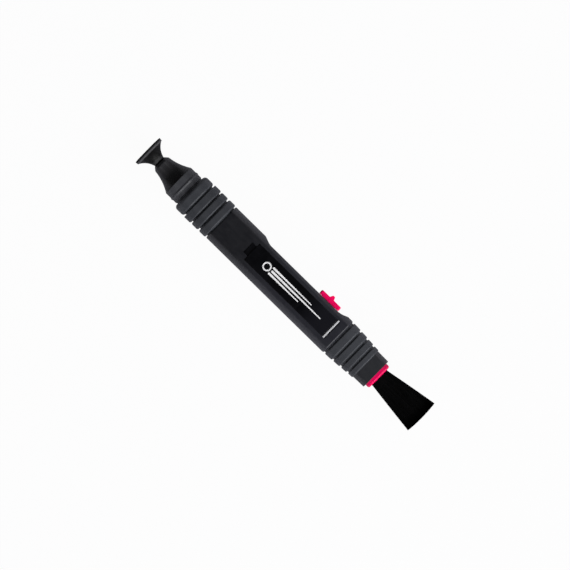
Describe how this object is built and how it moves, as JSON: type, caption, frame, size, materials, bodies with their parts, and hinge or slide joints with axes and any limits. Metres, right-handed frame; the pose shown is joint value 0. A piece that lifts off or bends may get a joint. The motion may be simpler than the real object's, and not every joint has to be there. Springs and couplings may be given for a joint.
{
  "type": "lens cleaning pen",
  "caption": "Lens cleaning pen with a flexible round cleaning tip at one end and a flat brush at the other, which a side slider pushes out of the barrel.",
  "frame": {"origin": "on the barrel's flat back, under the pen's axis, about half way along the pen", "axes": "+X along the pen from the cleaning tip to the brush, +Y out of the slide channel, +Z out of the flat front with the plate"},
  "size_m": [0.1357, 0.0171, 0.0144],
  "materials": {
    "barrel_plastic": "fine satin moulded plastic, near black",
    "grip_rubber": "soft-touch satin rubber, dark grey",
    "neck_plastic": "smooth semi-gloss, near black",
    "tip_rubber": "smooth satin rubber, dark grey",
    "pad_suede": "carbon-black suede nap",
    "plate_gloss": "gloss black",
    "white_print": "white, satin",
    "pink_plastic": "magenta-pink moulded plastic, semi-gloss",
    "spring_steel": "rolled spring steel",
    "resin": "amber cast resin",
    "hair": "soft black hair"
  },
  "bodies": {
    "barrel": {"barrel": "barrel_plastic", "label_plate": "plate_gloss", "label_bar": "white_print", "nose_tube": "barrel_plastic", "nose_grip": "grip_rubber", "rear_grip": "grip_rubber", "tip_holder": "barrel_plastic", "neck": "neck_plastic", "tip_stem": "tip_rubber"},
    "brush": {"slider_button": "pink_plastic", "slide_carriage": "pink_plastic", "detent_spring": "spring_steel", "ferrule": "pink_plastic", "tuft_resin": "resin", "bristles": "hair"},
    "tip": {"tip_cup": "tip_rubber", "pad_backing": "tip_rubber", "tip_pad": "pad_suede"}
  },
  "joints": [
    {"name": "brush_slide", "type": "slide", "parent": "barrel", "child": "brush", "axis": [1, 0, 0], "range_m": [-0.0225, 0], "deforming": ["bristles", "detent_spring"]},
    {"name": "tip_flex", "type": "hinge", "parent": "barrel", "child": "tip", "pos_m": [-0.06195, 0, 0.0066], "axis": [0, 1, 0], "range_deg": [-12, 12], "stiffness_Nm_per_rad": 0.013, "deforming": ["tip_stem"]}
  ]
}
